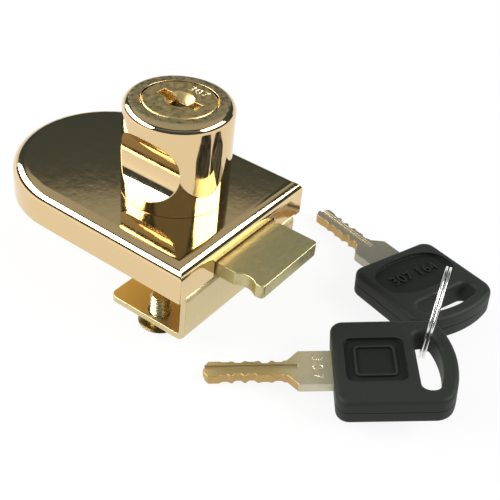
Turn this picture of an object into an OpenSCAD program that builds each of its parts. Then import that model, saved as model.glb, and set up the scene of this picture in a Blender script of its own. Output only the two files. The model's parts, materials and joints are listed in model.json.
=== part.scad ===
// Clamp-on lock for a glass cabinet door: a D-shaped case with a fixed pull knob, a keyed plug in the
// knob, a sliding bolt, a bent clamp plate that grips the glass edge, and two keys on a split ring.
// Millimetres. +X is the way the bolt comes out, +Z is the knob axis, and z = 0 is the face that sits
// on the glass. The bolt is drawn out (locked), with the key slot along X.

/* [Case] */
// Length of the case from its straight front to its round end
case_len = 48.5; // [44:0.5:60]
// Width of the case
case_w = 35.4; // [34:0.2:44]
// Distance from the knob axis to the straight front
case_front = 15.9; // [15:0.1:18]
// Thickness of the side walls
case_wall = 2.5; // [2:0.1:3]
// Thickness of the top wall
case_top = 2.3; // [1.8:0.1:3]
// Radius of the rounded top edge
case_edge_r = 2.4; // [0.8:0.1:2.8]
// Radius of the two upright corners at the front
case_corner_r = 0.4; // [0.3:0.1:2]
// How far the case's sides reach down beside the back plate
case_skirt = 0.4; // [0.2:0.1:0.8]

/* [Knob] */
// Diameter of the knob
knob_d = 19; // [18:0.5:24]
// Height of the knob above the case
knob_h = 17.3; // [16.5:0.1:22]
// Radius of the knob's rounded rim
knob_rim_r = 1.6; // [0.6:0.1:2]
// Radius of the two finger scoops
scoop_r = 8; // [7:0.1:9]
// Depth of the finger scoops
scoop_depth = 2.5; // [1:0.1:2.7]
// Height of the scoops' middle above the case
scoop_z = 8; // [7:0.1:8.5]

/* [Plug] */
// Diameter of the plug's face
plug_face_d = 12.7; // [12.2:0.1:13.2]
// Height of the plug's face
plug_face_h = 3; // [2.5:0.1:3.2]
// Diameter of the plug's barrel
plug_d = 10; // [9.8:0.1:10.4]
// Width of the key slot, across the key's thickness
keyway_w = 2; // [1.9:0.1:2.4]
// Length of the wide mouth of the key slot
mouth_l = 8.3; // [7.8:0.1:9]
// Depth of the wide mouth, where the key's shoulder stops
mouth_depth = 1.5; // [1:0.1:2]
// Diameter of the round lead-in at the middle of the face
lead_in_d = 5.2; // [4:0.1:6]
// Gap seen round the plug's face
face_gap = 0.25; // [0.1:0.05:0.35]

/* [Wafers] */
// Thickness of one wafer
wafer_t = 1; // [0.8:0.1:1.2]
// Width of one wafer
wafer_w = 6.4; // [6:0.1:6.6]
// How far a sprung wafer stands out of the plug
wafer_travel = 0.6; // [0.4:0.05:0.65]

/* [Bolt] */
// Width of the bolt's tongue
bolt_w = 16.5; // [12:0.5:19]
// Width of the bolt's body inside the case
bolt_body_w = 21; // [20:0.2:22]
// Thickness of the bolt
bolt_t = 2.7; // [2.4:0.1:4]
// How far the bolt stands out of the case when locked
bolt_out = 9.5; // [7:0.5:12]
// Stroke of the bolt
bolt_stroke = 9.5; // [7:0.5:9.5]
// Radius of the scallop in the tongue's edge
scallop_r = 3; // [2.5:0.1:4]
// Depth of the scallop
scallop_depth = 0.8; // [0.4:0.1:1.2]
// Distance from the bolt's tip to the scallop's middle
scallop_from_tip = 3.6; // [3:0.1:4.5]

/* [Drive] */
// Thickness of the cam
cam_t = 1; // [0.8:0.1:1.6]
// Diameter of the drive pin
pin_d = 2.4; // [2:0.1:2.8]
// Thread diameter of the cam screw
cam_screw_d = 2.5; // [2:0.1:3]
// Head diameter of the cam screw
cam_screw_head_d = 4.5; // [4:0.1:5]
// Head height of the cam screw
cam_screw_head_h = 1.5; // [1:0.1:2]

/* [Clamp plate] */
// Thickness of the sheet
sheet_t = 1.2; // [1:0.1:1.6]
// Width of the clamp plate
clamp_w = 31.6; // [31:0.2:33]
// Height of the gap for the glass
glass_gap = 6.8; // [6:0.1:10]
// How far the flange runs past the knob axis
flange_past = 0.8; // [0:0.1:4]
// Radius of the flange's two rear corners
flange_corner_r = 1.5; // [1:0.5:5]
// Inner radius of the lower bend
bend_r = 0.6; // [0.4:0.1:2]
// Thickness of the pad on the glass face
pad_t = 0.8; // [0.5:0.1:1.5]

/* [Clamp screws] */
// Thread diameter of the clamp screws
clamp_screw_d = 4; // [3:0.5:5]
// Distance of the clamp screws in front of the knob axis
clamp_screw_x = 8.4; // [6:0.1:9.5]
// Distance of the clamp screws from the sides of the clamp plate
clamp_screw_edge = 2.7; // [2.7:0.1:4.5]
// Space left for the glass under the pad
grip = 3.4; // [3:0.1:5.5]
// Diameter of the clamp screws' heads
clamp_head_d = 7.6; // [6:0.1:8]
// Height of the clamp screws' heads
clamp_head_h = 1.6; // [1.2:0.1:2.4]
// Gap between the flange and the clamp screws' heads
clamp_head_gap = 0.8; // [0.5:0.1:2]

/* [Keys] */
// Length of a key's blade from its tip to its shoulder
blade_l = 13.8; // [13.6:0.1:14.2]
// Length from a key's tip to its wide shank
shank_from = 15.6; // [15.4:0.1:16.2]
// Length from a key's tip to its head
head_from = 21.2; // [20:0.1:24]
// Width of a key's blade
blade_w = 3.4; // [3.2:0.1:3.8]
// Width of a key's shank
shank_w = 7.6; // [6.5:0.1:7.7]
// Thickness of the key metal
key_t = 1.8; // [1.4:0.1:1.9]
// Length of a key's head
head_l = 20.2; // [19:0.1:22]
// Width of a key's head
head_w = 18.9; // [17:0.1:19.5]
// Thickness of a key's head
head_t = 5; // [4.5:0.1:5.4]
// Radius of a key head's curved end
head_end_r = 20; // [16:0.5:26]
// Width of the ring hole in a key's head
ring_hole_w = 4.2; // [4:0.1:4.6]
// Length of the ring hole in a key's head
ring_hole_l = 13.6; // [12:0.1:14]

/* [Split ring] */
// Radius of the ring, to the middle of its wire
ring_r = 8; // [7.6:0.1:8.6]
// Diameter of the ring's wire
ring_wire = 0.45; // [0.3:0.05:0.55]
// Step from one turn to the next
ring_pitch = 0.65; // [0.6:0.05:1]

/* [Hidden] */
$fn = 96;

// Clearances
eps = 0.01;            // overshoot of a cut past a face
run_gap = 0.05;        // radial gap of a turning or threaded fit
seat_gap = 0.02;       // gap of a fixed fit
slide_gap = 0.1;       // gap under the bolt
guide_gap = 0.15;      // gap beside the bolt, and above and below the cam
slot_gap = 0.45;       // gap between the bolt's tongue and the ends of its slot
slot_head = 0.35;      // gap above the bolt's tongue in its slot
skirt_gap = 0.1;       // gap between the case's skirt and the back plate
yoke_gap = 0.35;       // gap each side of the drive pin in the bolt's slot
shoulder_gap = 0.3;    // gap between the bolt's shoulders and the front wall
embed = 0.5;           // how far ribs and bosses run into the wall that carries them
through = 1;           // overshoot of a cut that goes right through

// Levels
plate_z = pad_t;
case_z = plate_z + sheet_t;
bolt_z = case_z + slide_gap;
bolt_top = bolt_z + bolt_t;
cam_z = bolt_top + guide_gap;
plug_end = cam_z + cam_t;
ceiling_z = plug_end + guide_gap;
case_h = ceiling_z + case_top - case_z;
top_z = case_z + case_h;
face_z = top_z + knob_h;
barrel_top = face_z - plug_face_h;
flange_z = -glass_gap - sheet_t;

// Case plan
case_r = case_w / 2;
round_x = case_front - case_len + case_r;
cavity_front = case_front - case_wall;
rib_t = 1;
rib_y = bolt_body_w / 2 + guide_gap;
boss_r = 2.2;
boss_hole_r = 1.25;
boss_back = 6;         // distance of the two side bosses behind the knob axis
boss_edge = 2.7;       // distance of the side bosses from the sides of the clamp plate
tail_boss_in = 4.3;    // distance of the tail boss from the round end of the clamp plate
boss_y = clamp_w / 2 - boss_edge;
boss_xy = [[-boss_back, boss_y], [-boss_back, -boss_y], [round_x - clamp_w / 2 + tail_boss_in, 0]];

// Knob and plug
knob_r = knob_d / 2;
scoop_y = knob_r + scoop_r - scoop_depth;
plug_r = plug_d / 2;
plug_hole_r = plug_r + run_gap;
face_hole_r = plug_face_d / 2 + face_gap;
face_seat = 0.1;       // gap under the plug's face
face_chamfer = 0.2;
tail_w = 4.4;          // square tail that carries the cam
knob_screw_shift = 0.35; // how far the knob screws stand outside the middle of the knob's wall
knob_screw_x = (plug_r + knob_r) / 2 + knob_screw_shift;
knob_screw_r = 1;
knob_screw_head_r = 1.9;
knob_screw_depth = 7;
clip_lift = 0.35;      // height of the circlip above the case
clip_t = 0.6;
clip_bite = 0.55;      // depth of the circlip in the plug
clip_reach = 0.95;     // reach of the circlip past the plug
clip_room = 0.15;
clip_z = top_z + clip_lift;
clip_in = plug_r - clip_bite;
clip_out = plug_r + clip_reach;
clip_mouth = 3.2;      // opening of the circlip

// Key cuts, one digit for each wafer, on each edge of the blade
cut_step = 0.18;
cuts_near = [2, 3, 3, 1, 2];
cuts_far = [1, 2, 1, 3, 2];
wafer_count = len(cuts_near);
cut_pitch = 2.2;
first_cut = 3.6;
cut_flat = 0.45;       // half of a cut's flat bottom
cut_ramp = 0.5;        // length of a cut's sloping side
function cut_s(i) = first_cut + cut_pitch * i;
function cut_edge(cuts, i) = blade_w / 2 - cut_step * cuts[i];

// Wafers, in the plug as the right key holds them
keyway_play = 0.6;
keyway_l = blade_w + keyway_play;
tip_z = face_z - mouth_depth - shank_from;
tip_gap = 0.3;         // gap below the key's tip
keyway_floor = tip_z - tip_gap;
wafer_room = 0.1;
groove_room = 0.15;    // gap round a sprung wafer in the knob's grooves
groove_side = 0.25;
wafer_r = plug_r - run_gap;
groove_r = plug_r + wafer_travel + groove_room;
groove_w = wafer_w + 2 * groove_side;
function wafer_z(i) = tip_z + cut_s(i);
function wafer_turn(i) = i % 2 == 0 ? 0 : 180;
lug_x = 0.5;
lug_l = 0.8;
lug_out = 1.1;         // reach of the wafer's spring lug past its edge
spring_r = 0.4;
spring_wire = 0.2;
spring_pitch = 0.62;
spring_turns = 3;
spring_room = 0.15;
spring_y = wafer_w / 2 + wafer_room + spring_r + spring_wire / 2 + spring_room;
spring_len = spring_pitch * spring_turns;
spring_x = lug_x - wafer_room - spring_wire / 2 - spring_len;

// Bolt and drive
crank_r = bolt_stroke / sqrt(2);
crank_a = 45;          // angle of the drive pin when locked
pin_r = pin_d / 2;
cam_wall = 1.2;        // material of the cam round the plug and the pin
hub_r = plug_r + cam_wall;
lobe_r = pin_r + cam_wall;
neck_w = 1.6 * lobe_r;  // width of the cam between its hub and its lobe
shoulder_x = cavity_front - shoulder_gap;
bolt_tip = case_front + bolt_out;
window_gap = 0.4;      // gap between the cam screw's head and the bolt's window
window_r = cam_screw_head_d / 2 + window_gap;
yoke_r = pin_r + yoke_gap;
bolt_tail = 3;         // material behind the bolt's window
bolt_back = -window_r - bolt_tail;
rib_past = 1;          // reach of the guide ribs past the drawn-in bolt
rib_back = bolt_back - bolt_stroke - rib_past;
nose_r = 0.8;
tongue_root = 4;       // how far the tongue runs into the bolt's body
pin_lift = 0.4;        // gap under the drive pin
cam_screw_cover = 0.5; // metal between the cam screw's hole and the key slot

// Clamp plate
web_x = case_front - sheet_t;
seam_bend_r = 0.4;     // inner radius of the upper bend
plan_corner_r = 0.5;   // corners of the plate, the pad and the case's hollow
seam_r = sheet_t + seam_bend_r;
bend_out_r = bend_r + sheet_t;
clamp_r = clamp_w / 2;
pad_inset = 0.8;
csk_r = 2.3;
csk_h = 1;

// Clamp screws
thread_r = clamp_screw_d / 2;
clamp_screw_y = clamp_w / 2 - clamp_screw_edge;
tip_taper = 0.6;
tip_h = 0.7;
tip_r = thread_r - tip_taper;
drive_slot_w = 1;
drive_slot_h = 0.8;
small_slot_w = 0.6;    // driver slot of the small screws

// Keys lie on the level of the clamp screws' heads, tipped up by the ring under their rims
floor_z = flange_z - clamp_head_gap - clamp_head_h;
head_corner_r = 2.2;
end_corner_r = 1.6;
hole_corner_r = 1.4;
head_rim = 2.3;        // material between the ring hole and the end of the head
hole_s = head_from + head_l - head_rim - ring_hole_w / 2;
tang_l = 11;           // length of the blade moulded into the head
panel_w = 9.3;
panel_r = 1.4;
panel_depth = 0.5;
panel_in = 7;          // distance of the panels' middle from the head's blade side
panel_s = head_from + panel_in;
oval_r = 8.7;
oval_shift = 4.4;
oval_end_r = 7;
groove_depth = 0.5;
groove_y = [-0.1, 0.8];
ring_centre = [47.2, 13.3];
ring_turn = 16.7;      // angle of the ring's axis from +X
ring_turns = 1.9;
ring_z = floor_z + ring_wire / 2 + 0.35 + ring_r;
key_1_reach = 7.4;     // distance along the ring's plane from its middle to where each key hangs
key_2_reach = 7;
key_1_offset = 3.9;    // place of the ring's wire along each key's hole
key_2_offset = 1.6;
key_1_shift = 0.3;     // how far the wire lies from the middle of each hole, towards the blade
key_2_shift = 0.95;
// Each pose: reach, offset, heading, pitch with the head raised, roll, 1 if face down, and shift
key_1_pose = [-key_1_reach, key_1_offset, 35.3, 7.5, 0, 0, key_1_shift];
key_2_pose = [key_2_reach, -key_2_offset, -20.2, 4.7, 1.2, 1, key_2_shift];

floor_gap = 0.1;       // gap between a key's tip and the level it lies on
function ring_point(reach) = ring_centre + reach * [-sin(ring_turn), cos(ring_turn)];
function wire_s(pose) = hole_s - pose[6];
function key_lift(pose) = floor_z + floor_gap + key_t / 2 + wire_s(pose) * sin(pose[3])
                          + pose[1] * sin(pose[4]);

// Rectangle from corner a to corner b with round corners
module round_rect(a, b, r) {
    translate([a[0] + r, a[1]]) square([b[0] - a[0] - 2 * r, b[1] - a[1]]);
    translate([a[0], a[1] + r]) square([b[0] - a[0], b[1] - a[1] - 2 * r]);
    for (x = [a[0] + r, b[0] - r], y = [a[1] + r, b[1] - r]) translate([x, y]) circle(r = r);
}

// D-shaped plan: half width r, straight front at x = front with corners of radius corner
module d_plan(r, front, corner) {
    translate([round_x, 0]) circle(r = r);
    translate([round_x, -r]) square([front - round_x - corner, 2 * r]);
    translate([front - 2 * corner, -r + corner]) square([2 * corner, 2 * (r - corner)]);
    for (side = [-1, 1]) translate([front - corner, side * (r - corner)]) circle(r = corner);
}

// Section with one rounded upper corner, from x = 0 to x = reach
module edge_section(reach, h, r) {
    square([reach, h - r]);
    square([reach - r, h]);
    translate([reach - r, h - r]) circle(r = r);
}

// Tube along a coil whose axis is Z
module coil(radius, pitch, turns, wire, per_turn) {
    sides = 6;
    steps = ceil(turns * per_turn);
    function along(k) = 360 * turns * k / steps;
    function middle(k) = [radius * cos(along(k)), radius * sin(along(k)), pitch * along(k) / 360];
    function rim(k, j) = middle(k) + wire / 2 * (cos(60 * j) * [cos(along(k)), sin(along(k)), 0]
                                                 + sin(60 * j) * [0, 0, 1]);
    gaps = [for (k = [0 : steps]) for (m = [k + ceil(per_turn / 2) : 1 : steps])
            norm(middle(k) - middle(m)) - wire];
    echo(coil_radius = radius, least_gap = min(gaps));
    points = [for (k = [0 : steps]) for (j = [0 : sides - 1]) rim(k, j)];
    function id(k, j) = k * sides + j % sides;
    walls = [for (k = [0 : steps - 1]) for (j = [0 : sides - 1]) for (half = [0, 1])
             half == 0 ? [id(k, j), id(k, j + 1), id(k + 1, j + 1)]
                       : [id(k, j), id(k + 1, j + 1), id(k + 1, j)]];
    caps = [for (j = [1 : sides - 2]) for (end = [0, 1])
            end == 0 ? [id(0, 0), id(0, j + 1), id(0, j)]
                     : [id(steps, 0), id(steps, j), id(steps, j + 1)]];
    polyhedron(points, concat(walls, caps));
}

// Countersunk screw standing on z = 0, its head down
module countersunk_screw(shank_r, head_r, head_h, length) {
    difference() {
        union() {
            cylinder(r1 = head_r, r2 = shank_r, h = head_h);
            cylinder(r = shank_r, h = length);
        }
        translate([-head_r, -small_slot_w / 2, -eps]) cube([2 * head_r, small_slot_w, head_h / 2]);
    }
}

// Hole for such a screw
module countersunk_hole(shank_r, head_r, head_h, length) {
    cylinder(r1 = head_r + run_gap, r2 = shank_r + run_gap, h = head_h);
    cylinder(r = shank_r + run_gap, h = length);
}

// Outside of the case, before it is hollowed
module case_block() {
    block_h = case_h + case_skirt;
    intersection() {
        translate([round_x, 0, 0]) rotate([90, 0, 90]) linear_extrude(case_front - round_x)
            for (side = [0, 1]) mirror([side, 0]) edge_section(case_r, block_h, case_edge_r);
        translate([round_x, case_r, 0]) rotate([90, 0, 0]) linear_extrude(case_w)
            edge_section(case_front - round_x, block_h, case_edge_r);
        linear_extrude(block_h) d_plan(case_r, case_front, case_corner_r);
    }
    translate([round_x, 0, 0]) rotate([0, 0, 90]) rotate_extrude(angle = 180)
        edge_section(case_r, block_h, case_edge_r);
}

module housing() {
    room = case_h - case_top;
    color([0.85, 0.7, 0.4]) translate([0, 0, case_z]) difference() {
        union() {
            difference() {
                translate([0, 0, -case_skirt]) case_block();
                translate([0, 0, -eps]) linear_extrude(room + eps)
                    d_plan(case_r - case_wall, cavity_front, plan_corner_r);
                // Room for the back plate, open at the front
                translate([0, 0, -case_skirt - eps]) linear_extrude(case_skirt + eps)
                    d_plan(clamp_r + skirt_gap, case_front + clamp_w, plan_corner_r);
            }
            for (side = [-1, 1]) translate([rib_back, side > 0 ? rib_y : -rib_y - rib_t, 0])
                cube([cavity_front + embed - rib_back, rib_t, room + embed]);
            for (at = boss_xy) translate([at[0], at[1], 0]) cylinder(r = boss_r, h = room + embed);
        }
        for (at = boss_xy) translate([at[0], at[1], -eps]) cylinder(r = boss_hole_r + run_gap, h = room);
        slot_w = bolt_w + 2 * slot_gap;
        translate([cavity_front - through, -slot_w / 2, -eps])
            cube([case_wall + 2 * through, slot_w, bolt_top + slot_head - case_z + eps]);
        translate([0, 0, room - eps]) cylinder(r = plug_hole_r + run_gap, h = case_top + through);
        for (side = [-1, 1]) translate([side * knob_screw_x, 0, room])
            countersunk_hole(knob_screw_r, knob_screw_head_r, case_top / 2, case_top + through);
    }
}

module knob() {
    color([0.87, 0.72, 0.42]) difference() {
        translate([0, 0, top_z]) rotate_extrude() edge_section(knob_r, knob_h, knob_rim_r);
        translate([0, 0, top_z - eps]) cylinder(r = plug_hole_r, h = knob_h);
        translate([0, 0, barrel_top - face_seat]) cylinder(r = face_hole_r, h = plug_face_h + through);
        translate([0, 0, top_z - eps])
            cylinder(r = clip_out + clip_room, h = clip_lift + clip_t + clip_room);
        translate([0, 0, wafer_z(0) - wafer_t]) intersection() {
            height = wafer_z(wafer_count - 1) - wafer_z(0) + 2 * wafer_t;
            cylinder(r = groove_r, h = height);
            union() for (turn = [0, 90]) rotate(turn) translate([-knob_r, -groove_w / 2, 0])
                cube([knob_d, groove_w, height]);
        }
        for (side = [-1, 1]) {
            translate([-knob_d, side * scoop_y, top_z + scoop_z]) rotate([0, 90, 0])
                cylinder(r = scoop_r, h = 2 * knob_d);
            translate([side * knob_screw_x, 0, top_z - eps])
                cylinder(r = knob_screw_r + run_gap, h = knob_screw_depth);
        }
    }
}

module plug() {
    color([0.8, 0.7, 0.45]) difference() {
        union() {
            translate([0, 0, plug_end]) cylinder(r = plug_r, h = barrel_top + embed - plug_end);
            translate([0, 0, barrel_top]) cylinder(d = plug_face_d, h = plug_face_h - face_chamfer);
            translate([0, 0, face_z - face_chamfer])
                cylinder(d1 = plug_face_d, d2 = plug_face_d - 2 * face_chamfer, h = face_chamfer);
            translate([-tail_w / 2, -tail_w / 2, cam_z]) cube([tail_w, tail_w, cam_t + embed]);
        }
        translate([-keyway_l / 2, -keyway_w / 2, keyway_floor]) cube([keyway_l, keyway_w, face_z]);
        translate([-mouth_l / 2, -keyway_w / 2, face_z - mouth_depth]) cube([mouth_l, keyway_w, face_z]);
        translate([0, 0, face_z - lead_in_d / 4])
            cylinder(d1 = lead_in_d / 2, d2 = lead_in_d + eps, h = lead_in_d / 4 + eps);
        translate([0, 0, cam_z - eps])
            cylinder(r = cam_screw_d / 2 + run_gap, h = keyway_floor - cam_z - cam_screw_cover);
        translate([0, 0, clip_z - run_gap]) difference() {
            cylinder(r = plug_r + through, h = clip_t + 2 * run_gap);
            translate([0, 0, -through]) cylinder(r = clip_in - seat_gap, h = clip_t + 2 * through);
        }
        for (i = [0 : wafer_count - 1]) translate([0, 0, wafer_z(i)]) rotate(wafer_turn(i)) {
            cube([2 * plug_d, wafer_w + 2 * wafer_room, wafer_t + 2 * wafer_room], center = true);
            translate([lug_x - wafer_room, 0, -wafer_t / 2 - wafer_room])
                cube([lug_l + wafer_travel + 2 * wafer_room, wafer_w / 2 + lug_out + wafer_room,
                      wafer_t + 2 * wafer_room]);
            pocket_r = spring_r + spring_wire / 2 + spring_room;
            translate([spring_x - spring_wire - spring_room, spring_y, 0]) rotate([0, 90, 0])
                cylinder(r = pocket_r, h = lug_x - spring_x + spring_wire);
        }
    }
}

module plug_circlip() {
    color("silver") translate([0, 0, clip_z]) difference() {
        cylinder(r = clip_out, h = clip_t);
        translate([0, 0, -through]) cylinder(r = clip_in, h = clip_t + 2 * through);
        translate([0, -clip_mouth / 2, -through]) cube([2 * clip_out, clip_mouth, clip_t + 2 * through]);
    }
}

// Wafer for cut number i, standing at the middle of the plug
module wafer(i) {
    edge = cut_edge(i % 2 == 0 ? cuts_near : cuts_far, i);
    rotate(wafer_turn(i)) linear_extrude(wafer_t, center = true) difference() {
        union() {
            intersection() {
                circle(r = wafer_r);
                square([2 * plug_d, wafer_w], center = true);
            }
            translate([lug_x, wafer_w / 2 - embed]) square([lug_l, lug_out + embed]);
        }
        translate([-edge - wafer_room, -keyway_w / 2 - wafer_room])
            square([edge + keyway_l / 2 + 2 * wafer_room, keyway_w + 2 * wafer_room]);
    }
}

module wafers_forward() {
    color("goldenrod") for (i = [0 : 2 : wafer_count - 1]) translate([0, 0, wafer_z(i)]) wafer(i);
}

module wafers_backward() {
    color("goldenrod") for (i = [1 : 2 : wafer_count - 1]) translate([0, 0, wafer_z(i)]) wafer(i);
}

module wafer_springs() {
    color("silver") for (i = [0 : wafer_count - 1])
        translate([0, 0, wafer_z(i)]) rotate(wafer_turn(i)) translate([spring_x, spring_y, 0])
            rotate([0, 90, 0]) coil(spring_r, spring_pitch, spring_turns, spring_wire, 8);
}

module drive_cam() {
    color("silver") translate([0, 0, cam_z]) rotate(crank_a) difference() {
        linear_extrude(cam_t) {
            circle(r = hub_r);
            translate([crank_r, 0]) circle(r = lobe_r);
            translate([0, -neck_w / 2]) square([crank_r, neck_w]);
        }
        rotate(-crank_a) translate([-tail_w / 2 - seat_gap, -tail_w / 2 - seat_gap, -through])
            cube([tail_w + 2 * seat_gap, tail_w + 2 * seat_gap, cam_t + 2 * through]);
        translate([crank_r, 0, -through]) cylinder(r = pin_r + seat_gap, h = cam_t + 2 * through);
    }
}

module drive_pin() {
    color("silver") rotate(crank_a) translate([crank_r, 0, bolt_z + pin_lift])
        cylinder(r = pin_r, h = plug_end - bolt_z - pin_lift);
}

module cam_screw() {
    color("silver") difference() {
        union() {
            translate([0, 0, cam_z - cam_screw_head_h]) cylinder(d = cam_screw_head_d, h = cam_screw_head_h);
            translate([0, 0, cam_z - embed])
                cylinder(d = cam_screw_d, h = keyway_floor - cam_z - 2 * cam_screw_cover + embed);
        }
        translate([-cam_screw_head_d, -small_slot_w / 2, cam_z - cam_screw_head_h - eps])
            cube([2 * cam_screw_head_d, small_slot_w, cam_screw_head_h / 2]);
    }
}

module bolt() {
    color([0.62, 0.55, 0.3]) translate([0, 0, bolt_z]) difference() {
        linear_extrude(bolt_t) difference() {
            union() {
                round_rect([shoulder_x - tongue_root, -bolt_w / 2], [bolt_tip, bolt_w / 2], nose_r);
                round_rect([bolt_back, -bolt_body_w / 2], [shoulder_x, bolt_body_w / 2], nose_r);
            }
            translate([bolt_tip - scallop_from_tip, -bolt_w / 2 - scallop_r + scallop_depth])
                circle(r = scallop_r);
            // Long window round the cam screw's head
            for (x = [0, bolt_stroke]) translate([x, 0]) circle(r = window_r);
            translate([0, -window_r]) square([bolt_stroke, 2 * window_r]);
            // Cross slot for the drive pin
            translate([crank_r * cos(crank_a) - yoke_r, 0]) square([2 * yoke_r, crank_r]);
            translate([crank_r * cos(crank_a), crank_r]) circle(r = yoke_r);
        }
    }
}

// Quarter of a bent sheet round the origin, in the quadrant of +x and +y
module bend_section(outer) {
    intersection() {
        difference() {
            circle(r = outer);
            circle(r = outer - sheet_t);
        }
        square(outer + 1);
    }
}

module clamp_plate() {
    web_bottom = flange_z + bend_out_r;
    web_top = case_z - seam_r;
    color([0.8, 0.68, 0.4]) difference() {
        union() {
            translate([0, 0, plate_z]) linear_extrude(sheet_t)
                intersection() {
                    d_plan(clamp_r, case_front, plan_corner_r);
                    translate([-case_len, -case_w]) square([case_len + case_front - seam_r, 2 * case_w]);
                }
            rotate([90, 0, 0]) linear_extrude(clamp_w, center = true) {
                translate([case_front - seam_r, web_top]) bend_section(seam_r);
                translate([web_x, web_bottom]) square([sheet_t, web_top - web_bottom]);
                translate([case_front - bend_out_r, web_bottom]) mirror([0, 1]) bend_section(bend_out_r);
            }
            flange_end = case_front - bend_out_r;
            translate([0, 0, flange_z]) linear_extrude(sheet_t) intersection() {
                round_rect([-flange_past, -clamp_r], [flange_end + clamp_w, clamp_r], flange_corner_r);
                translate([-flange_past, -clamp_w]) square([flange_end + flange_past, 2 * clamp_w]);
            }
        }
        for (at = boss_xy) translate([at[0], at[1], plate_z - eps])
            countersunk_hole(boss_hole_r, csk_r, csk_h, sheet_t + through);
        for (side = [-1, 1]) translate([clamp_screw_x, side * clamp_screw_y, flange_z - through])
            cylinder(r = thread_r + run_gap, h = sheet_t + 2 * through);
    }
}

module glass_pad() {
    color([0.6, 0.4, 0.15]) linear_extrude(pad_t)
        d_plan(clamp_r - pad_inset, web_x - bend_r - pad_inset, plan_corner_r);
}

module back_plate_screws() {
    color("silver") for (at = boss_xy) translate([at[0], at[1], plate_z])
        countersunk_screw(boss_hole_r, csk_r, csk_h, sheet_t + (case_h - case_top) * 0.75);
}

module knob_screws() {
    color("silver") for (side = [-1, 1]) translate([side * knob_screw_x, 0, ceiling_z])
        countersunk_screw(knob_screw_r, knob_screw_head_r, case_top / 2, case_top + knob_screw_depth - 1);
}

module clamp_screw(side) {
    head_top = flange_z - clamp_head_gap;
    dome_r = (pow(clamp_head_d / 2, 2) + pow(clamp_head_h, 2)) / (2 * clamp_head_h);
    color([0.75, 0.66, 0.42]) translate([clamp_screw_x, side * clamp_screw_y, 0]) difference() {
        union() {
            translate([0, 0, head_top - eps]) cylinder(r = thread_r, h = -grip - tip_h - head_top);
            translate([0, 0, -grip - tip_h - 2 * eps])
                cylinder(r1 = thread_r, r2 = tip_r, h = tip_h + 2 * eps);
            intersection() {
                translate([0, 0, head_top - clamp_head_h - eps])
                    cylinder(d = clamp_head_d, h = clamp_head_h + eps);
                translate([0, 0, head_top - clamp_head_h + dome_r]) sphere(r = dome_r);
            }
        }
        translate([-clamp_head_d, -drive_slot_w / 2, head_top - clamp_head_h - through])
            cube([2 * clamp_head_d, drive_slot_w, drive_slot_h + through]);
    }
}

module clamp_screw_near() { clamp_screw(-1); }

module clamp_screw_far() { clamp_screw(1); }

// Cuts along one edge of the blade, one at each wafer
function blade_cuts(cuts) = [for (i = [0 : wafer_count - 1]) each
    [[cut_s(i) - cut_flat - cut_ramp, blade_w / 2], [cut_s(i) - cut_flat, cut_edge(cuts, i)],
     [cut_s(i) + cut_flat, cut_edge(cuts, i)], [cut_s(i) + cut_flat + cut_ramp, blade_w / 2]]];

// One edge of the key metal, from the tip to the end inside the head
function blade_edge(cuts) = concat([[0, blade_w / 6], [blade_w / 4, blade_w / 2]], blade_cuts(cuts),
    [[blade_l, blade_w / 2], [shank_from, shank_w / 2], [head_from + tang_l, shank_w / 2]]);

function flipped(points) = [for (i = [len(points) - 1 : -1 : 0]) [points[i][0], -points[i][1]]];

// Key lying along +X with its tip at the origin, its middle plane at z = 0
module blade() {
    difference() {
        linear_extrude(key_t, center = true)
            polygon(concat(blade_edge(cuts_far), flipped(blade_edge(cuts_near))));
        for (turn = [0, 180]) rotate([turn, 0, 0])
            translate([-through, groove_y[0], key_t / 2 - groove_depth])
                cube([shank_from + through, groove_y[1] - groove_y[0], groove_depth + through]);
    }
}

module head_outline() {
    half = head_w / 2;
    end = head_from + head_l;
    middle = end - head_end_r;
    // Middles of the round corners where the curved end meets the sides
    corner_x = middle + sqrt(pow(head_end_r - end_corner_r, 2) - pow(half - end_corner_r, 2));
    touch_y = (half - end_corner_r) * head_end_r / (head_end_r - end_corner_r);
    round_rect([head_from, -half], [corner_x + head_corner_r, half], head_corner_r);
    translate([corner_x - head_l / 2, -half]) square([head_l / 2, head_w]);
    for (side = [-1, 1]) translate([corner_x, side * (half - end_corner_r)]) circle(r = end_corner_r);
    intersection() {
        translate([middle, 0]) circle(r = head_end_r);
        translate([head_from + head_corner_r, -touch_y]) square([head_l, 2 * touch_y]);
    }
}

// Hole for the ring: straight on its inner side, along the curved end on its outer side
module ring_hole() {
    middle = head_from + head_l - head_end_r;
    outer_r = head_end_r - head_rim;
    inner_x = hole_s - ring_hole_w / 2;
    corner_y = ring_hole_l / 2 - hole_corner_r;
    outer_x = middle + sqrt(pow(outer_r - hole_corner_r, 2) - pow(corner_y, 2));
    touch_y = corner_y * outer_r / (outer_r - hole_corner_r);
    for (x = [inner_x + hole_corner_r, outer_x], y = [-corner_y, corner_y])
        translate([x, y]) circle(r = hole_corner_r);
    translate([inner_x, -corner_y]) square([outer_x - inner_x, 2 * corner_y]);
    translate([inner_x + hole_corner_r, -ring_hole_l / 2])
        square([outer_x - inner_x - hole_corner_r, ring_hole_l]);
    intersection() {
        translate([middle, 0]) circle(r = outer_r);
        translate([inner_x + hole_corner_r, -touch_y]) square([ring_hole_w, 2 * touch_y]);
    }
}

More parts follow.
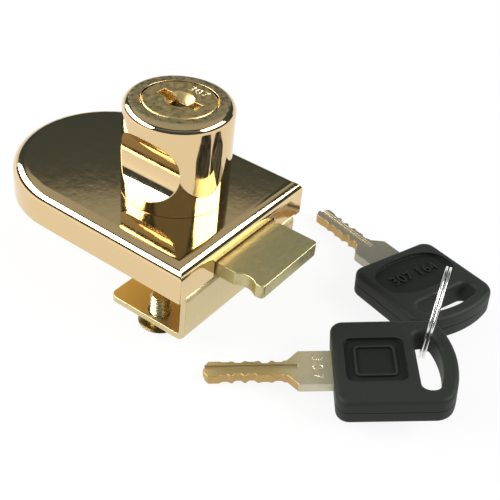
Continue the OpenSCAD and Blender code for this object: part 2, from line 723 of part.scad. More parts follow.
module head() {
    difference() {
        linear_extrude(head_t, center = true) difference() {
            head_outline();
            ring_hole();
        }
        translate([head_from - through, -shank_w / 2 - seat_gap, -key_t / 2 - seat_gap])
            cube([tang_l + through + seat_gap, shank_w + 2 * seat_gap, key_t + 2 * seat_gap]);
        // Square panel on the front, oval panel on the back
        translate([panel_s, 0, head_t / 2 - panel_depth]) linear_extrude(panel_depth + through)
            round_rect([-panel_w / 2, -panel_w / 2], [panel_w / 2, panel_w / 2], panel_r);
        translate([panel_s, 0, -head_t / 2 - through]) linear_extrude(through + panel_depth) intersection() {
            translate([oval_shift, 0]) circle(r = oval_r);
            translate([-oval_shift, 0]) circle(r = oval_r);
            circle(r = oval_end_r);
        }
    }
}

// Puts a key on the ring
module on_ring(pose) {
    at = ring_point(pose[0]);
    translate([at[0], at[1], key_lift(pose)]) rotate([0, 0, pose[2]]) rotate([0, -pose[3], 0])
        rotate([pose[4], 0, 0]) translate([-wire_s(pose), -pose[1], 0]) rotate([180 * pose[5], 0, 0])
            children();
}

module key_1_blade() { color([0.72, 0.66, 0.48]) on_ring(key_1_pose) blade(); }

module key_1_head() { color([0.12, 0.13, 0.12]) on_ring(key_1_pose) head(); }

module key_2_blade() { color([0.72, 0.66, 0.48]) on_ring(key_2_pose) blade(); }

module key_2_head() { color([0.12, 0.13, 0.12]) on_ring(key_2_pose) head(); }

module split_ring() {
    color("silver") translate([ring_centre[0], ring_centre[1], ring_z]) rotate([0, 0, ring_turn])
        rotate([0, 90, 0]) translate([0, 0, -ring_pitch * ring_turns / 2])
            coil(ring_r, ring_pitch, ring_turns, ring_wire, 36);
}

housing();
knob();
plug();
plug_circlip();
wafers_forward();
wafers_backward();
wafer_springs();
drive_cam();
drive_pin();
cam_screw();
bolt();
clamp_plate();
glass_pad();
back_plate_screws();
knob_screws();
clamp_screw_near();
clamp_screw_far();
key_1_blade();
key_1_head();
key_2_blade();
key_2_head();
split_ring();
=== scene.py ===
# %% [markdown]
# This lesson dresses a clamp-on lock for a glass cabinet door: a plated case with a pull knob, a flat
# bolt, a bent clamp with two screws, and two keys on a ring. The solids come from a CAD pack, in metres,
# with the knob's axis on +Z and the bolt coming out along +X. They could be modelled afresh here, but
# they already fit each other, so Blender only adds what they leave plain: soft edges, threads, moulded
# key heads, stamped digits and metal that mirrors a room.

import json
import math

import bmesh
import bpy
from mathutils import Matrix, Vector

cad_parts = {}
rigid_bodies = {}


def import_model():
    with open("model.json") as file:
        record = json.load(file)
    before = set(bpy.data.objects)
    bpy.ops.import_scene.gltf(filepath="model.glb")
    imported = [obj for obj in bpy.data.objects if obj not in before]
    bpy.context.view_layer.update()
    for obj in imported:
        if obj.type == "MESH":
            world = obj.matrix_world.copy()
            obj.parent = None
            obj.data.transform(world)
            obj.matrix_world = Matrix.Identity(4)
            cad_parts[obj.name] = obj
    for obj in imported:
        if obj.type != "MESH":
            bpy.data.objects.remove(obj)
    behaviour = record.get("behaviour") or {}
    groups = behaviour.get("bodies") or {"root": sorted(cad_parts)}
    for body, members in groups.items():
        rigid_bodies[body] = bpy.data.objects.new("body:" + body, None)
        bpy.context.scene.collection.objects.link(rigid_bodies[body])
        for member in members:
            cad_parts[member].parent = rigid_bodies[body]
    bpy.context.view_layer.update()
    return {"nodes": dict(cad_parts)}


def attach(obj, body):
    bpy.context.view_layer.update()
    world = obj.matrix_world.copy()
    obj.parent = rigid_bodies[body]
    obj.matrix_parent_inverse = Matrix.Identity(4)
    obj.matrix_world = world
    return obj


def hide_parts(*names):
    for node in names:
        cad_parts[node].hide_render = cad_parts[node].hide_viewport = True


MM = 0.001
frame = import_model()
solids = frame["nodes"]

# %% [markdown]
# The camera stands where the photographer stood: above the near corner of the case, looking down at
# the lock. It could be set by angles in degrees, but the picture has a small roll too. The three axes
# were fitted to the rims of the knob and the edges of the case, so they are written down as a matrix.

# %% Camera
CAMERA_AT = Vector((81.786, -105.222, 98.447)) * MM
CAMERA_RIGHT = Vector((0.80647, 0.58350, 0.09559))
CAMERA_UP = Vector((-0.42051, 0.45236, 0.78647))
CAMERA_BACK = Vector((0.41566, -0.67447, 0.61018))
LENS_MM = 65.55
SENSOR_MM = 36.0
NEAREST_SEEN = 5 * MM


def link(piece):
    """Puts an object into the scene."""
    bpy.context.scene.collection.objects.link(piece)
    return piece


camera_data = bpy.data.cameras.new("camera")
camera_data.lens = LENS_MM
camera_data.sensor_width = SENSOR_MM
camera_data.clip_start = NEAREST_SEEN
camera = link(bpy.data.objects.new("camera", camera_data))
turned = Matrix((CAMERA_RIGHT, CAMERA_UP, CAMERA_BACK)).transposed().to_4x4()
camera.matrix_world = Matrix.Translation(CAMERA_AT) @ turned
bpy.context.scene.camera = camera
print("camera", round(CAMERA_AT.length / MM), "mm from the lock")

# %% [markdown]
# Every finish in this lesson is a small tree of shader nodes. The nodes could be drawn by hand in the
# Shader Editor, but a script can be read and repeated. Two helpers keep it short: one adds a node
# with its settings, and one takes a list of wires, each from an output to an input.


# %% Nodes and wires
def add_node(tree, kind, inputs=None, **settings):
    """Adds a node. Settings are its own properties, inputs are values for its sockets."""
    node = tree.nodes.new(kind)
    for name, value in settings.items():
        setattr(node, name, value)
    for socket, value in (inputs or {}).items():
        node.inputs[socket].default_value = value
    return node


def wire(tree, *wires):
    """Joins nodes. Each wire is: from node, its output, to node, its input."""
    for source, output, target, socket in wires:
        tree.links.new(source.outputs[output], target.inputs[socket])


def new_finish(name, values):
    """A material with one Principled shader. Returns the material, its node tree and the shader."""
    made = bpy.data.materials.new(name)
    made.use_nodes = True
    shader = made.node_tree.nodes["Principled BSDF"]
    for socket, value in values.items():
        shader.inputs[socket].default_value = value
    return made, made.node_tree, shader


print("node helpers ready")

# %% [markdown]
# The lock lies on white paper, and the upright faces of its plating mirror that paper. A floor that only
# reflects would need lamps so strong that they burn out the metal, so this one also glows. Its
# underside is clear, which lets a camera look at the lock from below.

# %% Floor
FLOOR_Z = -10.4 * MM
FLOOR_REACH = 2.0
FLOOR_CORNERS = ((-1, -1), (1, -1), (1, 1), (-1, 1))
FLOOR_PAPER = {
    "Base Color": (0.07, 0.07, 0.07, 1),
    "Roughness": 0.9,
    "Emission Color": (1, 1, 1, 1),
    "Emission Strength": 0.885,
}

floor_mesh = bpy.data.meshes.new("floor")
floor_points = [(x * FLOOR_REACH, y * FLOOR_REACH, FLOOR_Z) for x, y in FLOOR_CORNERS]
floor_mesh.from_pydata(floor_points, [], [(0, 1, 2, 3)])
floor = link(bpy.data.objects.new("floor", floor_mesh))
paper, paper_tree, paper_shader = new_finish("floor_paper", FLOOR_PAPER)
seen_side = add_node(paper_tree, "ShaderNodeNewGeometry")
clear = add_node(paper_tree, "ShaderNodeBsdfTransparent")
one_sided = add_node(paper_tree, "ShaderNodeMixShader")
wire(
    paper_tree,
    (seen_side, "Backfacing", one_sided, "Fac"),
    (paper_shader, "BSDF", one_sided, 1),
    (clear, "BSDF", one_sided, 2),
    (one_sided, "Shader", paper_tree.nodes["Material Output"], "Surface"),
)
floor_mesh.materials.append(paper)
print("floor at", FLOOR_Z / MM, "mm")

# %% [markdown]
# Plated metal shows the room more than itself, so the room is designed for its reflections. The flat top
# of the case mirrors the step from a dim wall to a paler ceiling: charcoal at the back, lighter at the
# near corner. The room could be built from boxes or lit by a panorama picture, but a World whose grey
# grows with height is simpler to tune and costs nothing to render. Its upright axis leans away from the
# camera, so the camera's side of the room stays dark further up.

# %% Room
BEHIND = Vector((-0.614, 0.789, 0))
ROOM_LEAN = math.radians(9)
ROOM_TONES = (
    (0.62, (0.055, 0.075, 0.09)),
    (0.68, (0.085, 0.1, 0.1)),
    (0.697, (0.38, 0.39, 0.36)),
    (0.745, (0.46, 0.47, 0.44)),
)

room = bpy.data.worlds.new("room")
room.use_nodes = True
upright = BEHIND * math.sin(ROOM_LEAN) + Vector((0, 0, math.cos(ROOM_LEAN)))
direction = add_node(room.node_tree, "ShaderNodeTexCoord")
height = add_node(room.node_tree, "ShaderNodeVectorMath", {1: upright}, operation="DOT_PRODUCT")
shade = add_node(room.node_tree, "ShaderNodeValToRGB")
tones = shade.color_ramp.elements
tones.remove(tones[1])
tones[0].position = ROOM_TONES[0][0]
tones[0].color = (*ROOM_TONES[0][1], 1)
for level, grey in ROOM_TONES[1:]:
    tones.new(level).color = (*grey, 1)
wire(
    room.node_tree,
    (direction, "Generated", height, 0),
    (height, "Value", shade, "Fac"),
    (shade, "Color", room.node_tree.nodes["Background"], "Color"),
)
bpy.context.scene.world = room
bpy.context.scene.view_settings.view_transform = "Standard"
print("room tones:", len(tones))

# %% [markdown]
# Four soft lights finish the room. A window on the left and one behind on the right draw the white bands
# along the rounded edges. A faint wall on the near side keeps the front of the knob amber, and a long low
# backdrop gives the pale rims behind. Spots or a sun would make hard glints, so all four are large area
# lights that face the lock.

# %% Lights
# heading and rise in degrees, then distance, width and height in metres, then power in watts
SOFT_LIGHTS = {
    "left_window": (-145, 27, 0.5, 0.84, 0.21, 5.4),
    "back_window": (25, 31.5, 0.5, 0.47, 0.185, 2.7),
    "near_wall": (-52, 37, 0.5, 0.7, 0.11, 0.038),
    "backdrop": (128, 7, 1.0, 2.4, 0.25, 1.5),
}


def turned_about(axis, degrees):
    """A turn about one axis, as a matrix."""
    return Matrix.Rotation(math.radians(degrees), 4, axis)


def add_softbox(name, heading, rise, distance, width, height, power):
    """A rectangular soft light that faces the lock."""
    data = bpy.data.lights.new(name, "AREA")
    data.shape = "RECTANGLE"
    data.size = width
    data.size_y = height
    data.energy = power
    light = link(bpy.data.objects.new(name, data))
    turn = turned_about("Z", heading) @ turned_about("Y", -rise)
    at = (turn @ Vector((distance, 0, 0))).to_3d()
    facing = (-at).to_track_quat("-Z", "Y").to_matrix().to_4x4()
    light.matrix_world = Matrix.Translation(at) @ facing


for name, sizes in SOFT_LIGHTS.items():
    add_softbox(name, *sizes)
print("lights:", len(SOFT_LIGHTS))

# %% [markdown]
# Plated, milled and moulded faces are never perfectly even: their gloss changes a little from place to
# place. Photographed textures could show that, but they need pictures and unwrapping. One fine noise on
# Object coordinates does it for every piece: it moves the roughness between two values and feeds a
# shallow bump.

# %% Finish with a fine noise
NOISE_LOW = 0.3
NOISE_HIGH = 0.7


def add_noise(tree, scale, detail=3.0):
    """Noise on Object coordinates. The scale counts features per metre."""
    place = add_node(tree, "ShaderNodeTexCoord")
    noise = add_node(tree, "ShaderNodeTexNoise", {"Scale": scale, "Detail": detail})
    wire(tree, (place, "Object", noise, "Vector"))
    return noise


def vary_roughness(tree, shader, noise, low, high):
    """Lets the noise move the roughness between two values."""
    ends = {"From Min": NOISE_LOW, "From Max": NOISE_HIGH, "To Min": low, "To Max": high}
    spread = add_node(tree, "ShaderNodeMapRange", ends)
    wire(tree, (noise, "Fac", spread, "Value"), (spread, "Result", shader, "Roughness"))
    return spread


def noisy_finish(name, colour, metallic, rough, scale, depth, strength):
    """A finish with one noise for both its roughness and its bump. The depth is in mm."""
    made, tree, shader = new_finish(name, {"Base Color": (*colour, 1), "Metallic": metallic})
    noise = add_noise(tree, scale)
    vary_roughness(tree, shader, noise, *rough)
    bump = add_node(tree, "ShaderNodeBump", {"Strength": strength, "Distance": depth * MM})
    wire(tree, (noise, "Fac", bump, "Height"), (bump, "Normal", shader, "Normal"))
    return made


print("noise from", NOISE_LOW, "to", NOISE_HIGH, "moves the roughness")

# %% [markdown]
# The plating is mirror-bright on the case and the knob, dull on the plug and satin on the clamp. The
# bolt, the screws and the bare cuts of the keys are brass, the small parts inside are steel, the key
# heads are black plastic with smoother panels, whose darker colour is painted shade, and the pad for the
# glass is amber rubber. The pale metal in the sunk digits is a painted highlight. Each finish could be
# built by itself, but they differ only in numbers, so one table lists them and one loop makes them.

# %% Table of finishes
GOLD = (0.74, 0.55, 0.30)
PLASTIC_SHINE = 0.17
# colour, metallic, range of roughness, noise per metre, bump depth in mm, bump strength
FINISHES = {
    "gold_mirror": (GOLD, 1.0, (0.04, 0.09), 650, 0.03, 0.25),
    "knob_gold": (GOLD, 1.0, (0.03, 0.1), 700, 0.03, 0.12),
    "plug_gold": ((0.67, 0.50, 0.22), 1.0, (0.25, 0.5), 1200, 0.04, 0.3),
    "satin_gold": ((0.64, 0.53, 0.30), 1.0, (0.3, 0.45), 2500, 0.04, 0.3),
    "satin_brass": ((0.56, 0.50, 0.265), 1.0, (0.34, 0.5), 1800, 0.05, 0.35),
    "screw_brass": ((0.52, 0.45, 0.25), 1.0, (0.2, 0.32), 2500, 0.02, 0.1),
    "bare_brass": ((0.5, 0.34, 0.135), 1.0, (0.4, 0.55), 3000, 0.04, 0.35),
    # painted highlight: a pale metal for the sunk digits that stands for their glints
    "painted_glint_stamp": ((0.95, 0.88, 0.68), 1.0, (0.3, 0.4), 3000, 0.02, 0.1),
    "plain_steel": ((0.55, 0.55, 0.55), 1.0, (0.25, 0.4), 2500, 0.03, 0.2),
    "bright_steel": ((0.80, 0.79, 0.76), 1.0, (0.12, 0.2), 3000, 0.01, 0.05),
    "black_plastic": ((0.020, 0.0225, 0.019), 0.0, (0.45, 0.6), 6000, 0.06, 0.35),
    # smoother plastic for the panel floors; its darker colour is painted shade in the sunk panels
    "smooth_shaded_plastic": ((0.012, 0.013, 0.011), 0.0, (0.4, 0.5), 4000, 0.03, 0.2),
    "pad_rubber": ((0.86, 0.53, 0.09), 0.0, (0.6, 0.75), 4000, 0.08, 0.4),
}

finishes = {name: noisy_finish(name, *values) for name, values in FINISHES.items()}
for name in ("black_plastic", "smooth_shaded_plastic"):
    shader = finishes[name].node_tree.nodes["Principled BSDF"]
    shader.inputs["Specular IOR Level"].default_value = PLASTIC_SHINE
print("finishes:", ", ".join(finishes))

# %% [markdown]
# The flat top of the knob was plated without polish, so it is mottled and duller than the sides. Its
# faces could be picked for a second material, but the shader can choose by height as well: above the
# knob's shoulder a richer noise takes over the roughness and dulls the colour in patches.

# %% Mottled top of the knob
KNOB_TOP = 25.6 * MM
KNOB_TOP_ROUGH = (0.2, 0.5)
DULL_GOLD = (0.46, 0.38, 0.18)
PATCHES_PER_METRE = 1300
PATCH_DETAIL = 6.0


def mottle_above(made, level, rough, dull):
    """Dulls a finish in patches above a level in metres."""
    tree = made.node_tree
    shader = tree.nodes["Principled BSDF"]
    polished = shader.inputs["Roughness"].links[0].from_node
    patches = add_noise(tree, PATCHES_PER_METRE, PATCH_DETAIL)
    satin = vary_roughness(tree, shader, patches, *rough)
    place = add_node(tree, "ShaderNodeTexCoord")
    axes = add_node(tree, "ShaderNodeSeparateXYZ")
    over = add_node(tree, "ShaderNodeMath", {1: level}, operation="GREATER_THAN")
    choice = add_node(tree, "ShaderNodeMix")
    share = add_node(tree, "ShaderNodeMath", operation="MULTIPLY")
    colours = {"Color1": shader.inputs["Base Color"].default_value, "Color2": (*dull, 1)}
    tint = add_node(tree, "ShaderNodeMixRGB", colours)
    wire(
        tree,
        (place, "Object", axes, "Vector"),
        (axes, "Z", over, 0),
        (over, "Value", choice, "Factor"),
        (polished, "Result", choice, "A"),
        (satin, "Result", choice, "B"),
        (choice, "Result", shader, "Roughness"),
        (over, "Value", share, 0),
        (patches, "Fac", share, 1),
        (share, "Value", tint, "Fac"),
        (tint, "Color", shader, "Base Color"),
    )


mottle_above(finishes["knob_gold"], KNOB_TOP, KNOB_TOP_ROUGH, DULL_GOLD)
print("knob is mottled above", KNOB_TOP / MM, "mm")

# %% [markdown]
# Each piece that shows is made as a plain mesh: a copy, a curve or a node tree is evaluated once, and
# the object it came from is thrown away. The modifiers that shape it could stay live, but a plain mesh
# is easier to measure and to hand on.


# %% Plain meshes
def as_object(mesh):
    """Puts a mesh into the scene as an object of the same name."""
    return link(bpy.data.objects.new(mesh.name, mesh))


def discard(piece):
    """Removes an object together with its mesh or curve."""
    shape = piece.data
    bpy.data.objects.remove(piece)
    bpy.data.batch_remove([shape])


def plain_mesh(piece, name):
    """Turns an object with modifiers, or a curve, into a plain mesh, and removes the object."""
    bpy.context.view_layer.update()
    seen = piece.evaluated_get(bpy.context.evaluated_depsgraph_get())
    mesh = bpy.data.meshes.new_from_object(seen)
    discard(piece)
    mesh.name = name
    return mesh


print("mesh helpers ready")

# %% [markdown]
# A finished piece is smooth except at its true edges, has one main finish, and stands in the place of
# its solid, on that solid's body. Smooth shading alone would bend the light on the flats beside a
# rounded edge. Extra loops of edges could hold them, but Weighted Normals keep them flat without any.

# %% Finished pieces
EDGE_ANGLE = 35.0


def smooth_but_edges(mesh, angle):
    """Smooth shading, except across edges sharper than the angle in degrees."""
    build = bmesh.new()
    build.from_mesh(mesh)
    for rim in build.edges:
        rim.smooth = rim.calc_face_angle(0.0) < math.radians(angle)
    for face in build.faces:
        face.smooth = True
    build.to_mesh(mesh)
    build.free()


def set_finish(mesh, finish):
    """Gives a mesh one material."""
    mesh.materials.clear()
    mesh.materials.append(finish)


def finished(mesh, finish, angle=EDGE_ANGLE):
    """Makes the object of a finished mesh, with even normals on its flats."""
    smooth_but_edges(mesh, angle)
    set_finish(mesh, finish)
    piece = as_object(mesh)
    even = piece.modifiers.new("even", "WEIGHTED_NORMAL")
    even.keep_sharp = True
    return piece


def stand_for(piece, node, body):
    """Puts a finished piece in the place of a solid, on that solid's body."""
    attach(piece, body)
    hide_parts(node)


print("edges sharper than", EDGE_ANGLE, "degrees stay edges")

# %% [markdown]
# The solids have knife-sharp edges and a facet for every few degrees of curve. Real edges are broken, and
# on plated metal it is the broken edge that catches the light. They could be beveled by hand, edge by
# edge. Here the flat triangles of a copy are joined first, so a Bevel modifier finds the true edges
# by their angle and breaks them all by the same width.

# %% Case, knob, bolt and clamp
SAME_POINT = 0.002 * MM
SAME_PLANE = math.radians(0.6)
EDGE_STEPS = 3
# solid, name of the piece, width of its broken edges in mm, finish, body, slot
SOFTENED_PIECES = (
    ("housing", "case", 0.12, "gold_mirror", "lock_case", "plated_gold"),
    ("knob", "pull_knob", 0.12, "knob_gold", "lock_case", "plated_gold"),
    ("bolt", "brass_bolt", 0.2, "satin_brass", "bolt_slide", "satin_brass"),
    ("clamp_plate", "bent_clamp", 0.12, "satin_gold", "lock_case", "plated_gold"),
)


def softened_mesh(node, name, edge):
    """A copy of a solid's mesh with its sharp edges broken by a width in mm."""
    mesh = solids[node].data.copy()
    build = bmesh.new()
    build.from_mesh(mesh)
    bmesh.ops.remove_doubles(build, verts=build.verts, dist=SAME_POINT)
    bmesh.ops.dissolve_limit(
        build,
        angle_limit=SAME_PLANE,
        use_dissolve_boundaries=False,
        verts=build.verts,
        edges=build.edges,
    )
    build.to_mesh(mesh)
    build.free()
    rough = as_object(mesh)
    bevel = rough.modifiers.new("edge", "BEVEL")
    bevel.width = edge * MM
    bevel.segments = EDGE_STEPS
    bevel.limit_method = "ANGLE"
    bevel.angle_limit = math.radians(EDGE_ANGLE)
    bevel.use_clamp_overlap = False
    return plain_mesh(rough, name)


for node, name, edge, finish, body, slot in SOFTENED_PIECES:
    piece = finished(softened_mesh(node, name, edge), finishes[finish])
    stand_for(piece, node, body)
    print(name, "faces", len(piece.data.polygons))

# %% [markdown]
# The plug's face and the key shanks carry a stamped number, here a plain made-up one. A bump would be
# quicker, but it has no depth of its own. So text becomes a solid mesh and a Boolean sinks it into the
# metal, and the digits catch light from every side.

# %% Stamped digits
STAMP = "307"
STAMP_DEPTH = 0.14
SEAM = 0.001 * MM


def close_up(mesh):
    """Joins doubled points of a mesh and turns its faces outwards."""
    build = bmesh.new()
    build.from_mesh(mesh)
    bmesh.ops.remove_doubles(build, verts=build.verts, dist=SEAM)
    bmesh.ops.recalc_face_normals(build, faces=build.faces)
    build.to_mesh(mesh)
    build.free()


def digits_solid(number, size, depth, spacing, spot):
    """Digits as a solid that reaches a depth in mm to both sides of z = 0 of the given matrix."""
    words = bpy.data.curves.new("digits", "FONT")
    words.body = number
    words.size = size * MM
    words.space_character = spacing
    words.align_x = "CENTER"
    words.align_y = "CENTER"
    words.extrude = depth * MM
    mesh = plain_mesh(link(bpy.data.objects.new("digits", words)), "digits")
    mesh.transform(spot)
    close_up(mesh)
    return as_object(mesh)


def carve(mesh, tools, name, operation="DIFFERENCE"):
    """Takes the tools out of a mesh, or with UNION adds them to it, and removes them."""
    body = as_object(mesh)
    for tool in tools:
        step = body.modifiers.new("carve", "BOOLEAN")
        step.operation = operation
        step.solver = "EXACT"
        step.object = tool
    result = plain_mesh(body, name)
    for tool in tools:
        discard(tool)
    return result


print("stamp", STAMP, "is", STAMP_DEPTH, "mm deep")

# %% [markdown]
# Inside the digits the metal is painted far paler than around them: a painted highlight that stands
# for the glints on the stamp. The digits could be pieces of their own, but they belong to the face. So
# some faces of the same mesh get a second finish, picked by a test of where they lie.

# %% Painted highlight inside the digits
STAMP_REACH_X = 4
STAMP_REACH_Y = 1.3
STAMP_SKIN = 0.02


def in_digits(middle, normal):
    """True inside the sunk digits, for a stamp whose face is z = 0."""
    near = abs(middle.x) < STAMP_REACH_X and abs(middle.y) < STAMP_REACH_Y
    return near and -STAMP_DEPTH - STAMP_SKIN < middle.z < -STAMP_SKIN


def dress_faces(piece, finish, picks, place):
    """Gives a second finish to the faces that a test picks by their middle and normal, seen in place."""
    piece.data.materials.append(finish)
    number = len(piece.data.materials) - 1
    inward = place.inverted()
    turn = inward.to_3x3()
    for face in piece.data.polygons:
        if picks(inward @ face.center / MM, turn @ face.normal):
            face.material_index = number


print("digits are sought", STAMP_REACH_X, "mm to each side of a stamp")

# %% [markdown]
# The plug is the turned part that the key goes into. Its face lies level with the knob's top, and the
# number stands beside the key slot. It could be built from a cylinder, but the solid has the slot
# already, so a softened copy and the stamp are all it needs.

# %% Plug
PLUG_EDGE = 0.08
FACE_Z = 25.7
FACE_STAMP_AT = Vector((0.6, 4.2, FACE_Z))
FACE_STAMP_SIZE = 2.4
FACE_STAMP_SPACING = 1.15

face_spot = Matrix.Translation(FACE_STAMP_AT * MM)
face_digits = digits_solid(STAMP, FACE_STAMP_SIZE, STAMP_DEPTH, FACE_STAMP_SPACING, face_spot)
plug_mesh = carve(softened_mesh("plug", "key_plug", PLUG_EDGE), [face_digits], "key_plug")
key_plug = finished(plug_mesh, finishes["plug_gold"])
# the sunk digits of the plug get the pale metal of a painted highlight
dress_faces(key_plug, finishes["painted_glint_stamp"], in_digits, face_spot)
stand_for(key_plug, "plug", "plug_set")
print("plug faces", len(plug_mesh.polygons))

# %% [markdown]
# Both keys have the same shape and hang on the ring at different headings, the second one face down.
# They could be modelled where they lie, but a tilted head is awkward to draw. A key is drawn lying
# along +X with its tip at the origin, and one matrix then lays it on the ring. The matrix follows the
# same steps as the solids, so the moulded head meets the metal exactly.

# %% Where the keys lie
KEY_T = 1.8
KEY_ABOVE_FLOOR = 0.1
RING_MIDDLE = Vector((47.2, 13.3, -1.825))
RING_TURN = 16.7


def key_place(reach, offset, heading, pitch, roll, face_down, hung_at):
    """Matrix that lays a key on the ring, hung at a length from its tip. In mm and degrees."""
    at_x = RING_MIDDLE.x - reach * math.sin(math.radians(RING_TURN))
    at_y = RING_MIDDLE.y + reach * math.cos(math.radians(RING_TURN))
    lift = FLOOR_Z / MM + KEY_T / 2 + hung_at * math.sin(math.radians(pitch)) + KEY_ABOVE_FLOOR
    lift = lift + offset * math.sin(math.radians(roll))
    turn = turned_about("Z", heading) @ turned_about("Y", -pitch) @ turned_about("X", roll)
    place = Matrix.Translation(Vector((at_x, at_y, lift)) * MM) @ turn
    place = place @ Matrix.Translation(Vector((-hung_at, -offset, 0)) * MM)
    return place @ turned_about("X", 180 if face_down else 0)


KEY_PLACES = {
    1: key_place(
        reach=-7.4, offset=3.9, heading=35.3, pitch=7.5, roll=0, face_down=False, hung_at=36.7
    ),
    2: key_place(
        reach=7, offset=-1.6, heading=-20.2, pitch=4.7, roll=1.2, face_down=True, hung_at=36.05
    ),
}
for number, place in KEY_PLACES.items():
    print("tip of key", number, "at", [round(c / MM, 1) for c in place.translation])

# %% [markdown]
# A key is nickel brass. The shank keeps its pale plating, and use has worn the blade to a warmer brass.
# The second key is the same metal, but its plating is painted darker, a painted shade, and its worn
# brass is greyer.
# The wear could be painted, but it follows the key's length, so the shader measures how far a point
# lies from the tip and mixes two colours by that.

# %% Worn brass of the keys
WORN_TO = 12
PLATED_FROM = 17
WORN_COLOURS = {1: (0.54, 0.44, 0.235), 2: (0.5, 0.45, 0.33)}
# the second key's darker plating is painted shade on a copy of the same metal
NICKEL_AND_SHADE_COLOURS = {1: (0.61, 0.57, 0.43), 2: (0.42, 0.395, 0.31)}
# metallic, range of roughness, noise per metre, bump depth in mm, bump strength
KEY_METAL = (1.0, (0.4, 0.58), 2200, 0.04, 0.35)


def key_finish(number, place):
    """Nickel brass that turns to worn brass towards the tip of a key laid in the given place."""
    made = noisy_finish("key_%d_brass" % number, NICKEL_AND_SHADE_COLOURS[number], *KEY_METAL)
    tree = made.node_tree
    along = place.to_3x3() @ Vector((1, 0, 0))
    tip = place.translation.dot(along)
    spot = add_node(tree, "ShaderNodeTexCoord")
    reach = add_node(tree, "ShaderNodeVectorMath", {1: along}, operation="DOT_PRODUCT")
    ends = {"From Min": tip + WORN_TO * MM, "From Max": tip + PLATED_FROM * MM}
    wear = add_node(tree, "ShaderNodeMapRange", ends)
    colours = {"Color1": (*WORN_COLOURS[number], 1), "Color2": (*NICKEL_AND_SHADE_COLOURS[number], 1)}
    tint = add_node(tree, "ShaderNodeMixRGB", colours)
    wire(
        tree,
        (spot, "Object", reach, 0),
        (reach, "Value", wear, "Value"),
        (wear, "Result", tint, "Fac"),
        (tint, "Color", tree.nodes["Principled BSDF"], "Base Color"),
    )
    return made


print("brass is worn to", WORN_TO, "mm and plated from", PLATED_FROM, "mm from the tip")

# %% [markdown]
# The flat metal of a key comes from its solid, with the cuts of the blade already in it. Milling has
# left those cuts bare, so they get a second finish. They could be selected by hand, but a test of where
# a face lies and which way it looks picks them on both keys. The number is stamped across the shank.

# %% Metal of the keys
KEY_EDGE = 0.12
CUTS_FROM = 0.3
CUTS_TO = 15.3
CUTS_OUT = 0.95
CUTS_LEAN = 0.35
SHANK_STAMP_S = 18.7
SHANK_STAMP_SIZE = 2.6
SHANK_STAMP_SPACING = 1.5


def on_cuts(middle, normal):
    """True on the milled edges of a blade, where the plating is gone."""
    along_edge = CUTS_FROM < middle.x < CUTS_TO and abs(middle.y) > CUTS_OUT
    return along_edge and abs(normal.y) > CUTS_LEAN


for number, place in KEY_PLACES.items():
    shank_spot = place @ Matrix.Translation(Vector((SHANK_STAMP_S, 0, KEY_T / 2)) * MM)
    shank_spot = shank_spot @ turned_about("Z", -90)
    digits = digits_solid(STAMP, SHANK_STAMP_SIZE, STAMP_DEPTH, SHANK_STAMP_SPACING, shank_spot)
    metal_name = "key_%d_metal" % number
    metal = softened_mesh("key_%d_blade" % number, metal_name, KEY_EDGE)
    blade = finished(carve(metal, [digits], metal_name), key_finish(number, place))
    dress_faces(blade, finishes["bare_brass"], on_cuts, place)
    # the sunk digits of the shank get the pale metal of a painted highlight
    dress_faces(blade, finishes["painted_glint_stamp"], in_digits, shank_spot)
    stand_for(blade, "key_%d_blade" % number, "key_%d" % number)
    print(metal_name, "faces", len(blade.data.polygons))

# %% [markdown]
# Seen from above, a key head is a rounded square whose end bows out. Such an outline could be traced
# point by point, but its lines are straight runs and arcs that touch, so a helper for arcs draws it
# from a few radii and widths.

# %% Outline of a key head
HEAD_FROM = 21.2
HEAD_END = 41.4
HEAD_HALF = 9.45
HEAD_CORNER = 2.2
END_CORNER = 3.3
END_R = 20.0
END_STEPS = 24


def arc(middle, radius, start, end, steps=10):
    """Points of an arc, angles in degrees, end points included."""
    points = []
    for k in range(steps + 1):
        angle = math.radians(start + (end - start) * k / steps)
        points.append((middle[0] + radius * math.cos(angle), middle[1] + radius * math.sin(angle)))
    return points


def head_outline(shrink=0.0):
    """Outline of the head, drawn in by a distance in mm."""
    middle = HEAD_END - END_R
    half = HEAD_HALF - END_CORNER
    corner_x = middle + math.sqrt((END_R - END_CORNER) ** 2 - half**2)
    lean = math.degrees(math.asin(half / (END_R - END_CORNER)))
    back_x = HEAD_FROM + HEAD_CORNER
    back_y = HEAD_HALF - HEAD_CORNER
    points = arc((back_x, -back_y), HEAD_CORNER - shrink, 180, 270)
    points += arc((corner_x, -half), END_CORNER - shrink, -90, -lean)
    points += arc((middle, 0), END_R - shrink, -lean, lean, END_STEPS)[1:-1]
    points += arc((corner_x, half), END_CORNER - shrink, lean, 90)
    points += arc((back_x, back_y), HEAD_CORNER - shrink, 90, 180)
    return points


print("head outline has", len(head_outline()), "points")

# %% [markdown]
# The hole for the ring is shaped like a D and keeps an even rim along the bowed end. A plain slot would
# be shorter to write, but its rim would be thin at both ends. An arc about the same middle as the end,
# less the width of the rim, keeps it even.

# %% Outline of the ring hole
HOLE_RIM = 2.5
HOLE_W = 4.0
HOLE_HALF = 6.6
HOLE_CORNER = 1.5
HOLE_STEPS = 16


